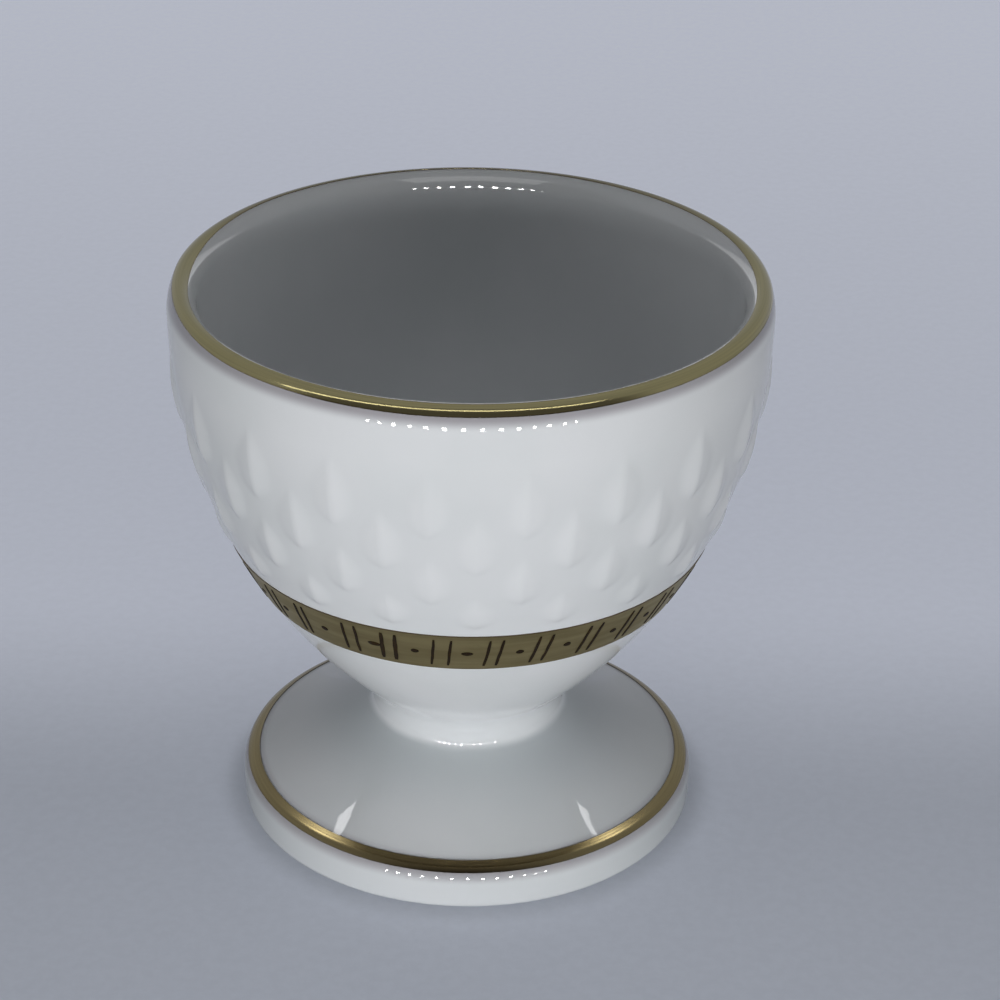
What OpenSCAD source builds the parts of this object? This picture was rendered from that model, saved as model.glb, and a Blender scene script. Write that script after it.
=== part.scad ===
// Footed egg cup in thin glazed china. A round bowl, embossed outside with four staggered rows of
// upright grains, stands on a hollow trumpet foot. Gilding covers the lip, a band under the
// embossing and a line round the foot, and the band carries printed strokes and dots.
// The origin is on the table under the cup's axis, and +Z is the axis.

/* [Cup] */
// Height from the table to the lip's crest
cup_h = 49.4; // [47.5:0.1:53]
// Diameter of the bowl at its widest ring
bowl_d = 50.2; // [47:0.1:55]
// Diameter of the waist between bowl and foot
waist_d = 16.8; // [14:0.1:20]
// Diameter of the foot
foot_d = 40; // [36:0.1:46]
// Height of the foot, from the table to the seam at the waist
foot_h = 9.4; // [9:0.05:10.8]

/* [Bowl] */
// Drop from the lip's crest to the widest ring
widest_drop = 2.3; // [1.9:0.1:2.8]
// Radius of the shoulder above the widest ring
shoulder_r = 4.2; // [3.6:0.1:5]
// Radius of the lip's crest
lip_r = 0.75; // [0.6:0.05:0.9]
// Radius of the slope from the crest into the bowl
lip_slope_r = 2; // [1.8:0.1:2.4]
// Thickness of the bowl's wall under the lip
wall_t = 2.45; // [2.2:0.05:2.7]
// Thickness of the china between the bowl's floor and the seam
floor_t = 5.18; // [4.5:0.02:6]
// Radius of the fillet from the bowl down to the waist
bowl_fillet_r = 2.2; // [1.5:0.1:3]

/* [Foot] */
// Height of the foot's widest ring above the table
foot_edge_z = 2.4; // [2:0.1:2.8]
// Radius of the foot's rounded edge
foot_edge_r = 1.5; // [1.3:0.1:1.9]
// Radius of the slight hollow of the foot's top
flare_r = 80; // [60:1:90]
// Radius of the fillet from the foot up to the waist
foot_fillet_r = 1.1; // [0.8:0.1:2]
// Straight length of the waist above the seam
waist_h = 0.76; // [0.5:0.02:1.1]
// Thickness of the foot's wall
foot_wall_t = 2.4; // [2:0.1:2.8]
// Thickness of the crown that closes the foot's hollow under the seam
crown_t = 2; // [1.5:0.1:2.5]
// Width of the ring that stands on the table
ring_w = 3.1; // [2.5:0.1:4]
// Radius of the ring's corner at the table
ring_round_r = 0.6; // [0.4:0.1:1]

/* [Embossing] */
// Grains in each row
grain_count = 20; // [12:1:22]
// Length of a grain of the top row
grain_len = 6.5; // [5:0.1:7.5]
// Width of a grain of the top row
grain_w = 3.8; // [2.5:0.1:4]
// Height of a grain over the bowl's side
grain_h = 0.36; // [0.25:0.01:0.5]
// Drop from the lip's crest to the middle of the top row
top_row_drop = 8.45; // [8:0.05:9]
// Distance from row to row along the bowl's side
row_step = 3.9; // [3.7:0.05:4]

/* [Gilding] */
// Thickness of the gold
gilt_t = 0.06; // [0.04:0.01:0.1]
// How far the lip's gold reaches down outside
rim_gilt_drop = 0.75; // [0.6:0.05:1.5]
// Drop from the lip's crest to the top edge of the gold band
band_drop = 22.25; // [22:0.05:22.6]
// Width of the gold band along the bowl's side
band_w = 5; // [4.6:0.1:5.4]
// Width of the foot's gold line on the rounded edge
foot_gilt_edge_w = 0.7; // [0.4:0.1:0.9]
// Width of the foot's gold line on the flare
foot_gilt_flare_w = 0.5; // [0.2:0.1:0.8]

/* [Print] */
// Thickness of the printed enamel
print_t = 0.04; // [0.03:0.01:0.08]
// Pairs of strokes round the band, with a dot after each
pair_count = 30; // [20:1:32]
// Distance between the two strokes of a pair
pair_gap = 1.08; // [0.8:0.02:1.3]
// Length of a stroke
stroke_len = 3.8; // [3:0.1:4.2]
// Width of a stroke
stroke_w = 0.24; // [0.16:0.02:0.36]
// Lean of a stroke from the upright
stroke_lean = 6; // [0:1:10]
// Diameter of a dot
dot_d = 0.75; // [0.5:0.05:0.9]

/* [Hidden] */
$fn = 120;

china_colour = [0.93, 0.94, 0.95];
gold_colour = [0.72, 0.62, 0.36];
print_colour = [0.16, 0.12, 0.08];

// How far a wedge reaches past the arc that it cuts, as a share of the arc's radius
reach_share = 2;
// How far a cap reaches back over its chord, as a share of the chord's distance from the centre
overlap_share = 0.02;
// Half of a size, of a span or of a pitch
half_share = 0.5;

// Outside of the bowl: side, shoulder and crest, each arc tangent to the next. The side starts
// upright at the widest ring and runs down until it touches the fillet over the waist
widest_z = cup_h - widest_drop;
waist_r = waist_d / 2;
bowl_fillet_centre = [waist_r + bowl_fillet_r, foot_h + waist_h];
side_r = upright_arc_r(
    bowl_d / 2 - bowl_fillet_centre.x,
    widest_z - bowl_fillet_centre.y,
    bowl_fillet_r
);
side_centre = [bowl_d / 2 - side_r, widest_z];
bowl_fillet_angle = angle_of(bowl_fillet_centre - side_centre);
shoulder_centre = [bowl_d / 2 - shoulder_r, widest_z];
crest_z = cup_h - lip_r;
crest_centre = [
    shoulder_centre.x + leg(shoulder_r - lip_r, crest_z - widest_z),
    crest_z
];
shoulder_angle = angle_of(crest_centre - shoulder_centre);

// Inside of the bowl: slope under the crest, wall and round floor, which is centred on the axis
cavity_r = bowl_d / 2 - wall_t;
slope_x = cavity_r + lip_slope_r;
slope_centre = [
    slope_x,
    crest_z - leg(lip_slope_r - lip_r, slope_x - crest_centre.x)
];
slope_angle = angle_of(crest_centre - slope_centre);
cavity_side_r = side_r - wall_t;
cavity_centre = [cavity_r - cavity_side_r, slope_centre.y];
floor_z = foot_h + floor_t;
floor_r = round_floor_r(cavity_side_r, cavity_centre.x, cavity_centre.y - floor_z);
floor_centre = [0, floor_z + floor_r];
floor_angle = angle_of(floor_centre - cavity_centre);

// Foot: rounded edge, flare with a slight hollow and fillet, each arc tangent to the next
foot_r = foot_d / 2;
edge_centre = [foot_r - foot_edge_r, foot_edge_z];
foot_fillet_centre = [waist_r + foot_fillet_r, foot_h];
flare_centre = meeting(
    edge_centre, foot_edge_r + flare_r,
    foot_fillet_centre, flare_r - foot_fillet_r
);
edge_angle = angle_of(flare_centre - edge_centre);
foot_fillet_angle = angle_of(foot_fillet_centre - flare_centre);

// Foot's hollow, whose wall follows the flare
hollow_r = foot_r - ring_w;
hollow_side_r = flare_r + foot_wall_t;
hollow_top_z = foot_h - crown_t;
hollow_foot = [
    hollow_r,
    flare_centre.y - leg(hollow_side_r, flare_centre.x - hollow_r)
];
hollow_head = [
    flare_centre.x - leg(hollow_side_r, flare_centre.y - hollow_top_z),
    hollow_top_z
];

// Rows of grains: length of each row's grains, as a share of the top row's
row_shares = [1, 0.93, 0.8, 0.56];
// Turn of the embossing, as a share of its pitch
grain_turn_share = 0.617;
// Depth of a grain's root in the wall, and how far its arc runs on past the grain's ends
root_depth_share = 1.5;
sweep_share = 1.2;

// Gold band and its print
band_top_angle = fall_angle(band_drop);
band_middle_angle = band_top_angle + arc_angle(band_w * half_share, side_r);
band_radius = side_centre.x + side_r * cos(band_middle_angle);
// Turn of the print, as a share of its pitch
print_turn_share = 0.025;
// Depth of the blocks and rods that cut the print out of its skin, over the gold's and the print's
// thickness together
cut_depth_share = 6;
cut_depth = cut_depth_share * (gilt_t + print_t);

// Other leg of a right-angled triangle
function leg(long_side, short_side) = sqrt(long_side * long_side - short_side * short_side);

// Direction of a vector, in degrees
function angle_of(v) = atan2(v.y, v.x);

// Point of a circle in a given direction
function on_circle(centre, radius, angle) = centre + radius * [cos(angle), sin(angle)];

// Turn that a length along an arc makes, in degrees
function arc_angle(length, radius) = length / radius * 180 / PI;

// Radius of an arc that starts upright and runs down and inwards until it touches a round corner,
// whose centre lies run inwards and drop below the start
function upright_arc_r(run, drop, corner_r) =
    (run * run + drop * drop - corner_r * corner_r) / (2 * (run + corner_r));

// Radius of a floor that is centred on the axis and touches the wall's arc from inside. The arc's
// centre lies aside of the axis and depth above the floor
function round_floor_r(wall_r, aside, depth) =
    (wall_r * wall_r - aside * aside - depth * depth) / (2 * (wall_r - depth));

// How far the bowl's side has turned below the widest ring, at a drop from the lip's crest
function fall_angle(drop) = asin((drop - widest_drop) / side_r);

// Point at given distances from two others, on the right of the line from the first to the second
function meeting(first, first_reach, second, second_reach) =
    let (
        span = norm(second - first),
        along = (second - first) / span,
        across = [along.y, -along.x],
        near = (first_reach * first_reach - second_reach * second_reach + span * span) / (2 * span)
    )
    first + near * along + leg(first_reach, near) * across;

// Sliver between a chord and its arc, which rounds out or hollows the side of an outline
module arc_cap(centre, radius, start, end) {
    middle = (start + end) * half_share;
    intersection() {
        translate(centre)
            circle(r = radius);
        polygon([
            start,
            middle + overlap_share * (centre - middle),
            end,
            centre + reach_share * (end - centre),
            centre + reach_share * (start - centre)
        ]);
    }
}

// Skin of an even thickness over an arc, from one direction to another
module arc_skin(centre, radius, thickness, from_angle, to_angle) {
    middle_angle = (from_angle + to_angle) * half_share;
    intersection() {
        translate(centre)
            difference() {
                circle(r = radius + thickness);
                circle(r = radius);
            }
        polygon([
            centre,
            on_circle(centre, reach_share * radius, from_angle),
            on_circle(centre, reach_share * radius, middle_angle),
            on_circle(centre, reach_share * radius, to_angle)
        ]);
    }
}

// Half section of the bowl's outside, filled to the axis
module bowl_outline() {
    waist_top = [waist_r, bowl_fillet_centre.y];
    side_foot = on_circle(side_centre, side_r, bowl_fillet_angle);
    widest = [bowl_d / 2, widest_z];
    crest_out = on_circle(crest_centre, lip_r, shoulder_angle);
    crest_in = on_circle(crest_centre, lip_r, slope_angle);
    difference() {
        union() {
            polygon([
                [0, foot_h], [waist_r, foot_h], waist_top, side_foot, widest,
                crest_out, crest_in, [0, crest_in.y]
            ]);
            arc_cap(side_centre, side_r, side_foot, widest);
            arc_cap(shoulder_centre, shoulder_r, widest, crest_out);
            arc_cap(crest_centre, lip_r, crest_out, crest_in);
        }
        arc_cap(bowl_fillet_centre, bowl_fillet_r, waist_top, side_foot);
    }
}

// Half section of the space inside the bowl, which is open to the crest's height
module cavity_outline() {
    crest_in = on_circle(crest_centre, lip_r, slope_angle);
    cavity_top = [cavity_r, slope_centre.y];
    floor_edge = on_circle(floor_centre, floor_r, floor_angle);
    floor_low = [0, floor_centre.y - floor_r];
    difference() {
        union() {
            polygon([floor_low, floor_edge, cavity_top, crest_in, [crest_in.x, cup_h], [0, cup_h]]);
            arc_cap(cavity_centre, cavity_side_r, floor_edge, cavity_top);
            arc_cap(floor_centre, floor_r, floor_low, floor_edge);
        }
        arc_cap(slope_centre, lip_slope_r, crest_in, cavity_top);
    }
}

// Half section of the foot
module foot_section() {
    ring_corner = [foot_r - ring_round_r, ring_round_r];
    ring_low = [foot_r - ring_round_r, 0];
    ring_side = [foot_r, ring_round_r];
    edge_side = [foot_r, foot_edge_z];
    edge_top = on_circle(edge_centre, foot_edge_r, edge_angle);
    flare_top = on_circle(flare_centre, flare_r, foot_fillet_angle);
    waist_low = [waist_r, foot_h];
    difference() {
        union() {
            polygon([
                [hollow_r, 0], ring_low, ring_side, edge_side, edge_top, flare_top,
                waist_low, [0, foot_h], [0, hollow_top_z], hollow_head, hollow_foot
            ]);
            arc_cap(ring_corner, ring_round_r, ring_low, ring_side);
            arc_cap(edge_centre, foot_edge_r, edge_side, edge_top);
            arc_cap(flare_centre, hollow_side_r, hollow_head, hollow_foot);
        }
        arc_cap(flare_centre, flare_r, edge_top, flare_top);
        arc_cap(foot_fillet_centre, foot_fillet_r, flare_top, waist_low);
    }
}

// Places its child on the bowl's side: +X points out of the side, +Z up along it
module on_side(fall, turn) {
    rotate([0, 0, turn])
        translate([side_centre.x, 0, side_centre.y])
            rotate([0, fall, 0])
                children();
}

// One upright grain: a ridge with a sharp crest, which sinks into the side at both ends
module grain(length_share, fall) {
    length = grain_len * length_share;
    height = grain_h * sqrt(length_share);
    row_r = side_centre.x + side_r * cos(fall);
    width = grain_w * row_r / (bowl_d / 2);
    crest_r = 1 / (1 / side_r + 8 * height / (length * length));
    sweep = sweep_share * asin(length * half_share / crest_r);
    root_r = crest_r - root_depth_share * height;
    translate([side_r + height - crest_r, 0, 0])
        rotate([90, 0, 0])
            rotate([0, 0, -sweep])
                rotate_extrude(angle = 2 * sweep)
                    polygon([
                        [root_r, -width / 2],
                        [crest_r - height, -width / 2],
                        [crest_r, 0],
                        [crest_r - height, width / 2],
                        [root_r, width / 2]
                    ]);
}

// All rows of grains, each row turned half a pitch against the one above
module embossing() {
    pitch = 360 / grain_count;
    for (row = [0 : len(row_shares) - 1]) {
        fall = fall_angle(top_row_drop) + arc_angle(row * row_step, side_r);
        for (i = [0 : grain_count - 1])
            on_side(fall, (i + grain_turn_share + row * half_share) * pitch)
                grain(row_shares[row], fall);
    }
}

// Skin of printed enamel over the whole gold band, from which strokes and dots are cut
module print_skin() {
    band_angle = arc_angle(band_w * half_share, side_r);
    rotate_extrude()
        arc_skin(
            side_centre, side_r + gilt_t, print_t,
            -band_middle_angle - band_angle, -band_middle_angle + band_angle
        );
}

// Bowl with its embossed side
module bowl() {
    color(china_colour)
        union() {
            rotate_extrude()
                difference() {
                    bowl_outline();
                    cavity_outline();
                }
            embossing();
        }
}

// Hollow trumpet foot
module foot() {
    color(china_colour)
        rotate_extrude()
            foot_section();
}

// Gold over the lip, from the shoulder to the slope inside
module rim_gilding() {
    low_angle = asin((widest_drop - rim_gilt_drop) / shoulder_r);
    color(gold_colour)
        rotate_extrude()
            union() {
                arc_skin(shoulder_centre, shoulder_r, gilt_t, low_angle, shoulder_angle);
                arc_skin(crest_centre, lip_r, gilt_t, shoulder_angle, slope_angle);
            }
}

// Gold band under the embossing
module band_gilding() {
    color(gold_colour)
        rotate_extrude()
            arc_skin(
                side_centre, side_r, gilt_t,
                -band_top_angle - arc_angle(band_w, side_r), -band_top_angle
            );
}

// Pairs of leaning strokes on the gold band
module band_strokes() {
    pitch = 360 / pair_count;
    pair_angle = arc_angle(pair_gap, band_radius);
    color(print_colour)
        intersection() {
            print_skin();
            for (i = [0 : pair_count - 1], side = [-half_share, half_share])
                on_side(band_middle_angle, (i + print_turn_share) * pitch + side * pair_angle)
                    translate([side_r, 0, 0])
                        rotate([-stroke_lean, 0, 0])
                            cube([cut_depth, stroke_w, stroke_len], center = true);
        }
}

// Dots between the pairs
module band_dots() {
    pitch = 360 / pair_count;
    color(print_colour)
        intersection() {
            print_skin();
            for (i = [0 : pair_count - 1])
                on_side(band_middle_angle, (i + print_turn_share + half_share) * pitch)
                    translate([side_r, 0, 0])
                        rotate([0, 90, 0])
                            cylinder(d = dot_d, h = cut_depth, center = true);
        }
}

// Gold line round the foot, on the flare's rim and on the rounded edge. A small square inside the
// gold ties the two skins together where they meet
module foot_gilding() {
    flare_angle = edge_angle + 180;
    joint = on_circle(edge_centre, foot_edge_r + gilt_t * half_share, edge_angle);
    color(gold_colour)
        rotate_extrude()
            union() {
                arc_skin(
                    edge_centre, foot_edge_r, gilt_t,
                    edge_angle - arc_angle(foot_gilt_edge_w, foot_edge_r), edge_angle
                );
                arc_skin(
                    flare_centre, flare_r - gilt_t, gilt_t,
                    flare_angle - arc_angle(foot_gilt_flare_w, flare_r), flare_angle
                );
                translate(joint)
                    rotate([0, 0, edge_angle])
                        square(gilt_t * half_share, center = true);
            }
}

bowl();
foot();
rim_gilding();
band_gilding();
band_strokes();
band_dots();
foot_gilding();
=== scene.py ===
from math import sin, cos, tan, atan2, asin, sqrt, pi, degrees, radians
import bpy
import bmesh
from mathutils import Vector, Matrix, noise


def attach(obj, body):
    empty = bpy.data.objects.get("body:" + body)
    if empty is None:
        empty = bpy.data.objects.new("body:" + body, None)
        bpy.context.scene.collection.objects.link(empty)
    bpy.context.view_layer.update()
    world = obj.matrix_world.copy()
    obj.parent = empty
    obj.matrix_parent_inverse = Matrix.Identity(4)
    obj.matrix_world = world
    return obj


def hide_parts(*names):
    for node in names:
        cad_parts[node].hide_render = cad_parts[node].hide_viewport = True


# Footed egg cup in glazed china: embossed bowl, gilded lip and foot, gold band with a dark print.
# Lengths in the dictionaries of the pieces are millimetres, those of materials, table top, camera
# and light are metres. Directions are degrees round the cup from its front.

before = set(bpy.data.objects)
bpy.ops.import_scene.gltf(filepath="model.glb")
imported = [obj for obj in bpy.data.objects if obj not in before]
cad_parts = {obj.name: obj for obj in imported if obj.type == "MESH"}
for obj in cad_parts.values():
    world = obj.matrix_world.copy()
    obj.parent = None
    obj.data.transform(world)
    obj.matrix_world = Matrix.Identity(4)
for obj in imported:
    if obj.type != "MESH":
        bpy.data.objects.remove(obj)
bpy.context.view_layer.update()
mm = 0.001
print("egg cup: frame loaded")

# the bowl's outline, with the same arcs as the solid's, and the mesh columns round the cup
cup = {
    "height": 49.4,
    "bowlRadius": 25.0999,    # a hair inside the solid's 25.1
    "waistRadius": 8.4,
    "footRadius": 20.0,
    "seamHeight": 9.4,
    "widestHeight": 47.1,
    "shoulderRadius": 4.2,
    "lipRadius": 0.75,
    "slopeRadius": 2.0,
    "wall": 2.45,
    "floorHeight": 14.58,
    "sideRadius": 47.005,
    "bowlFillet": 3.6,
    "sectors": 20,            # one for each grain of a row
    "columns": 24,            # mesh columns in a sector
    "columnTurn": 0.6,        # degrees, puts a column on every grain's crest
    "creaseAngle": 40,        # edges sharper than this are shaded as corners
}


def leg(longSide, shortSide):
    return sqrt(longSide * longSide - shortSide * shortSide)


def heading(fromPoint, toPoint):
    return degrees(atan2(toPoint[1] - fromPoint[1], toPoint[0] - fromPoint[0]))


def onCircle(centre, radius, angle):
    return centre[0] + radius * cos(radians(angle)), centre[1] + radius * sin(radians(angle))


# centres of the outline's arcs
crestHeight = cup["height"] - cup["lipRadius"]
sideRadius = cup["sideRadius"]
sideCentre = (cup["bowlRadius"] - sideRadius, cup["widestHeight"])
filletX = cup["waistRadius"] + cup["bowlFillet"]
filletDrop = leg(sideRadius + cup["bowlFillet"], filletX - sideCentre[0])
filletCentre = (filletX, sideCentre[1] - filletDrop)
filletAngle = heading(sideCentre, filletCentre)
shoulderCentre = (cup["bowlRadius"] - cup["shoulderRadius"], cup["widestHeight"])
crestStep = leg(cup["shoulderRadius"] - cup["lipRadius"], crestHeight - cup["widestHeight"])
crestCentre = (shoulderCentre[0] + crestStep, crestHeight)
shoulderAngle = heading(shoulderCentre, crestCentre)
cavityRadius = cup["bowlRadius"] - cup["wall"]
slopeX = cavityRadius + cup["slopeRadius"]
slopeDrop = leg(cup["slopeRadius"] - cup["lipRadius"], slopeX - crestCentre[0])
slopeCentre = (slopeX, crestHeight - slopeDrop)
slopeAngle = heading(slopeCentre, crestCentre)
cavitySide = sideRadius - cup["wall"]
cavityCentre = (cavityRadius - cavitySide, slopeCentre[1])
cavityDepth = cavityCentre[1] - cup["floorHeight"]
floorSquare = cavitySide ** 2 - cavityCentre[0] ** 2 - cavityDepth ** 2
floorRadius = floorSquare / (2 * (cavitySide - cavityDepth))
floorCentre = (0.0, cup["floorHeight"] + floorRadius)
floorAngle = heading(cavityCentre, floorCentre)


# an outline is a chain of vertices in the XZ plane, which is then spun round the cup
def startOutline(bm, r, z):
    return bm.verts.new((r * mm, 0, z * mm))


def lineTo(bm, tip, r, z, pieces=1):
    start, end = tip.co.copy(), Vector((r * mm, 0, z * mm))
    for k in range(1, pieces + 1):
        tip = bmesh.ops.extrude_vert_indiv(bm, verts=[tip])["verts"][0]
        tip.co = start.lerp(end, k / pieces)
    return tip


def arcTo(bm, tip, centre, turn, steps):       # turn is anticlockwise seen with +X right and +Z up
    swept = bmesh.ops.spin(
        bm, geom=[tip], cent=(centre[0] * mm, 0, centre[1] * mm), axis=(0, -1, 0), dvec=(0, 0, 0),
        angle=radians(turn), steps=steps, use_merge=False, use_duplicate=False,
    )
    return [g for g in swept["geom_last"] if isinstance(g, bmesh.types.BMVert)][0]


def closeRound(bm, columns):                   # the outline becomes a closed shell of revolution
    sectors = cup["sectors"]
    bmesh.ops.remove_doubles(bm, verts=bm.verts[:], dist=1e-7)
    firstTurn = Matrix.Rotation(radians(cup["columnTurn"]), 3, "Z")
    bmesh.ops.rotate(bm, cent=(0, 0, 0), matrix=firstTurn, verts=bm.verts[:])
    bmesh.ops.spin(                            # one sector
        bm, geom=bm.verts[:] + bm.edges[:], cent=(0, 0, 0), axis=(0, 0, 1), dvec=(0, 0, 0),
        angle=2 * pi / sectors, steps=columns, use_merge=False, use_duplicate=False,
    )
    bmesh.ops.spin(                            # and its copies round the cup
        bm, geom=bm.verts[:] + bm.edges[:] + bm.faces[:], cent=(0, 0, 0), axis=(0, 0, 1),
        dvec=(0, 0, 0), angle=2 * pi * (sectors - 1) / sectors, steps=sectors - 1,
        use_merge=False, use_duplicate=True,
    )
    bmesh.ops.remove_doubles(bm, verts=bm.verts[:], dist=4e-7)
    bmesh.ops.recalc_face_normals(bm, faces=bm.faces[:])


def polar(co):                                 # distance from the axis, height, direction
    return sqrt(co.x * co.x + co.y * co.y) / mm, co.z / mm, degrees(atan2(co.x, -co.y))


def place(r, z, phi):
    return Vector((r * sin(radians(phi)), -r * cos(radians(phi)), z)) * mm


def angleGap(a, b):
    return (a - b + 180) % 360 - 180


def aroundCup(values, phi):                    # values at even steps from the front towards +X
    turn = (phi % 360) / 360 * len(values)
    step = int(turn)
    share = turn - step
    share = share * share * (3 - 2 * share)
    return values[step % len(values)] * (1 - share) + values[(step + 1) % len(values)] * share


def smoothStep(value, none, full):             # 0 up to the first limit, 1 from the second on
    share = min(1, max(0, (value - none) / (full - none)))
    return share * share * (3 - 2 * share)


def finishPiece(bm, name, node, material):
    for edge in bm.edges:
        edge.smooth = edge.calc_face_angle(0) < radians(cup["creaseAngle"])
    mesh = bpy.data.meshes.new(name)
    bm.to_mesh(mesh)
    bm.free()
    mesh.polygons.foreach_set("use_smooth", [True] * len(mesh.polygons))
    mesh.materials.append(material)
    piece = bpy.data.objects.new(name, mesh)
    bpy.context.scene.collection.objects.link(piece)
    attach(piece, "root")
    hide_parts(node)
    print(f"egg cup: {name}, {len(mesh.polygons)} faces")
    return piece


def newNode(tree, kind, **settings):           # settings are inputs or, failing that, properties
    node = tree.nodes.new(kind)
    for key, value in settings.items():
        if key in node.inputs:
            node.inputs[key].default_value = value
        else:
            setattr(node, key, value)
    return node


def mathNode(tree, operation, a, b=None):
    node = tree.nodes.new("ShaderNodeMath")
    node.operation = operation
    for index, value in enumerate((a, b)):
        if value is None:
            continue
        if isinstance(value, (int, float)):
            node.inputs[index].default_value = value
        else:
            tree.links.new(value, node.inputs[index])
    return node.outputs[0]


def fromAxis(tree, parts):                     # distance from the cup's axis
    squares = [mathNode(tree, "MULTIPLY", part, part) for part in parts.outputs[:2]]
    return mathNode(tree, "SQRT", mathNode(tree, "ADD", *squares))


def seenRays(tree):                            # 1 for camera and glossy rays, 0 for the others
    path = newNode(tree, "ShaderNodeLightPath")
    return mathNode(tree, "MAXIMUM", path.outputs["Is Camera Ray"], path.outputs["Is Glossy Ray"])


def rangeNode(tree, value, low, high, outLow=0.0, outHigh=1.0):
    node = tree.nodes.new("ShaderNodeMapRange")
    node.interpolation_type = "SMOOTHSTEP"
    tree.links.new(value, node.inputs["Value"])
    limits = {"From Min": low, "From Max": high, "To Min": outLow, "To Max": outHigh}
    for name, number in limits.items():
        node.inputs[name].default_value = number
    return node.outputs["Result"]


def mixColour(tree, mask, first, second):
    node = tree.nodes.new("ShaderNodeMix")
    node.data_type = "RGBA"
    tree.links.new(mask, node.inputs["Factor"])
    for name, value in (("A", first), ("B", second)):
        socket = [s for s in node.inputs if s.name == name and s.type == "RGBA"][0]
        if isinstance(value, tuple):
            socket.default_value = (*value, 1)
        else:
            tree.links.new(value, socket)
    return [s for s in node.outputs if s.type == "RGBA"][0]


def newGroup(name, inputs, outputs):
    group = bpy.data.node_groups.new(name, "ShaderNodeTree")
    for label, kind, value in inputs:
        socket = group.interface.new_socket(label, in_out="INPUT", socket_type=kind)
        if value is not None:
            socket.default_value = value
    for label, kind in outputs:
        group.interface.new_socket(label, in_out="OUTPUT", socket_type=kind)
    return group, group.nodes.new("NodeGroupInput"), group.nodes.new("NodeGroupOutput")


def placeGroup(tree, group, coordinates, **values):
    node = tree.nodes.new("ShaderNodeGroup")
    node.node_tree = group
    tree.links.new(coordinates, node.inputs["Vector"])
    for name, value in values.items():
        node.inputs[name].default_value = value
    return node


# ripple: the glaze's slow swell and fine orange peel, as a height
rippleGroup, rippleIn, rippleOut = newGroup(
    "glazeRipple",
    [("Vector", "NodeSocketVector", None), ("Swell", "NodeSocketFloat", 1.0),
     ("Peel", "NodeSocketFloat", 0.2)],
    [("Height", "NodeSocketFloat")],
)
swellNoise = newNode(rippleGroup, "ShaderNodeTexNoise", Scale=190.0, Detail=2.0, Roughness=0.4)
peelNoise = newNode(rippleGroup, "ShaderNodeTexNoise", Scale=1500.0, Detail=1.0, Roughness=0.5)
rippleGroup.links.new(rippleIn.outputs["Vector"], swellNoise.inputs["Vector"])
rippleGroup.links.new(rippleIn.outputs["Vector"], peelNoise.inputs["Vector"])
swellPart = mathNode(rippleGroup, "MULTIPLY", swellNoise.outputs[0], rippleIn.outputs["Swell"])
peelPart = mathNode(rippleGroup, "MULTIPLY", peelNoise.outputs[0], rippleIn.outputs["Peel"])
rippleGroup.links.new(mathNode(rippleGroup, "ADD", swellPart, peelPart), rippleOut.inputs["Height"])

# specks: rare kiln specks and pinholes, as a mask
speckGroup, speckIn, speckOut = newGroup(
    "kilnSpecks",
    [("Vector", "NodeSocketVector", None), ("Spacing", "NodeSocketFloat", 260.0),
     ("Size", "NodeSocketFloat", 0.05)],
    [("Mask", "NodeSocketFloat")],
)
speckCells = newNode(speckGroup, "ShaderNodeTexVoronoi", Randomness=1.0)
speckGroup.links.new(speckIn.outputs["Vector"], speckCells.inputs["Vector"])
speckGroup.links.new(speckIn.outputs["Spacing"], speckCells.inputs["Scale"])
speckNear = mathNode(speckGroup, "LESS_THAN", speckCells.outputs["Distance"],
                     speckIn.outputs["Size"])
speckPick = newNode(speckGroup, "ShaderNodeSeparateColor")
speckGroup.links.new(speckCells.outputs["Color"], speckPick.inputs[0])
cleanShare = 0.86                              # share of the cells without a speck
speckRare = mathNode(speckGroup, "GREATER_THAN", speckPick.outputs[0], cleanShare)
speckSpots = mathNode(speckGroup, "MULTIPLY", speckNear, speckRare)
speckGroup.links.new(speckSpots, speckOut.inputs["Mask"])

# streaks: fine marks that run round the cup, from the brush and the burnisher
streakGroup, streakIn, streakOut = newGroup(
    "burnishStreaks",
    [("Vector", "NodeSocketVector", None), ("Along", "NodeSocketFloat", 40.0),
     ("Across", "NodeSocketFloat", 5000.0)],
    [("Value", "NodeSocketFloat")],
)
streakParts = newNode(streakGroup, "ShaderNodeSeparateXYZ")
streakGroup.links.new(streakIn.outputs["Vector"], streakParts.inputs[0])
streakRise = mathNode(streakGroup, "SUBTRACT", streakParts.outputs[2],
                      fromAxis(streakGroup, streakParts))
streakAcross = mathNode(streakGroup, "MULTIPLY", streakRise, streakIn.outputs["Across"])
streakJoin = newNode(streakGroup, "ShaderNodeCombineXYZ")
for axis in (0, 1):
    streakAlong = mathNode(streakGroup, "MULTIPLY", streakParts.outputs[axis],
                           streakIn.outputs["Along"])
    streakGroup.links.new(streakAlong, streakJoin.inputs[axis])
streakGroup.links.new(streakAcross, streakJoin.inputs[2])
streakNoise = newNode(streakGroup, "ShaderNodeTexNoise", Scale=1.0, Detail=3.0, Roughness=0.55)
streakGroup.links.new(streakJoin.outputs[0], streakNoise.inputs["Vector"])
streakGroup.links.new(streakNoise.outputs[0], streakOut.inputs["Value"])

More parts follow.
